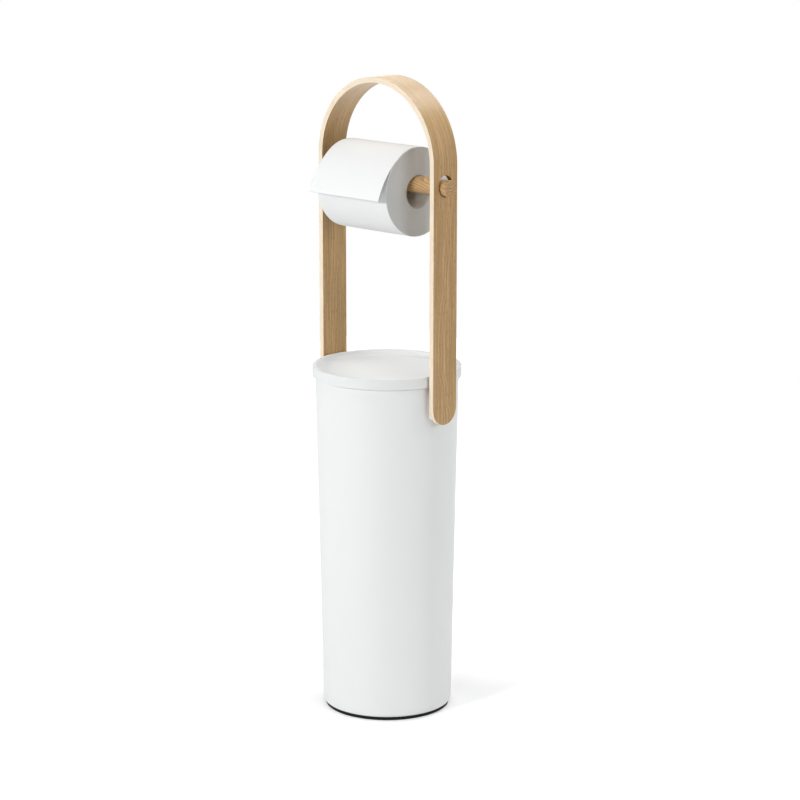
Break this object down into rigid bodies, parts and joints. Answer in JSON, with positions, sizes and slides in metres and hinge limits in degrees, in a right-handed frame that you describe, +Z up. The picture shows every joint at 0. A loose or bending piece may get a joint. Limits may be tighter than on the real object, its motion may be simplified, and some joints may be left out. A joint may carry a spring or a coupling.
{
  "type": "toilet paper stand",
  "caption": "Free-standing toilet paper stand: tapered white bin for spare rolls, lift-off tray lid, tall bent-wood handle and a removable dowel that carries the roll in use.",
  "frame": {"origin": "centre of the foot, on the floor", "axes": "+Z up, X from leg to leg of the handle, -Y the front, where the loose sheet hangs"},
  "size_m": [0.187, 0.16, 0.6862],
  "materials": {
    "white_plastic": "satin",
    "black_rubber": "matte",
    "ballast_steel": "matte",
    "screw_steel": "satin",
    "insert_brass": "satin",
    "pale_ply": "matte",
    "face_veneer": "matte",
    "dowel_wood": "matte",
    "core_board": "matte",
    "wound_tissue": "matte",
    "tissue_sheet": "matte"
  },
  "bodies": {
    "stand": {"bin_body": "white_plastic", "base_pad": "black_rubber", "ballast_plate": "ballast_steel", "ballast_screws": "screw_steel", "handle_core": "pale_ply", "handle_outer_veneer": "face_veneer", "handle_inner_veneer": "face_veneer", "saddle_right": "white_plastic", "saddle_left": "white_plastic", "handle_screws": "screw_steel", "handle_washers": "screw_steel", "handle_inserts": "insert_brass"},
    "lid": {"lid_tray": "white_plastic"},
    "rod": {"dowel": "dowel_wood"},
    "roll": {"roll_core": "core_board", "paper_roll": "wound_tissue", "loose_sheet": "tissue_sheet"}
  },
  "joints": [
    {"name": "lid_lift", "type": "slide", "parent": "stand", "child": "lid", "axis": [0, 0, 1], "range_m": [0, 0.125]},
    {"name": "dowel_pull", "type": "slide", "parent": "stand", "child": "rod", "axis": [1, 0, 0], "range_m": [-0.19, 0.19]},
    {"name": "roll_spin", "type": "hinge", "parent": "stand", "child": "roll", "pos_m": [-0.00595, 0.00069, 0.569], "axis": [1, 0, 0], "continuous": true}
  ]
}
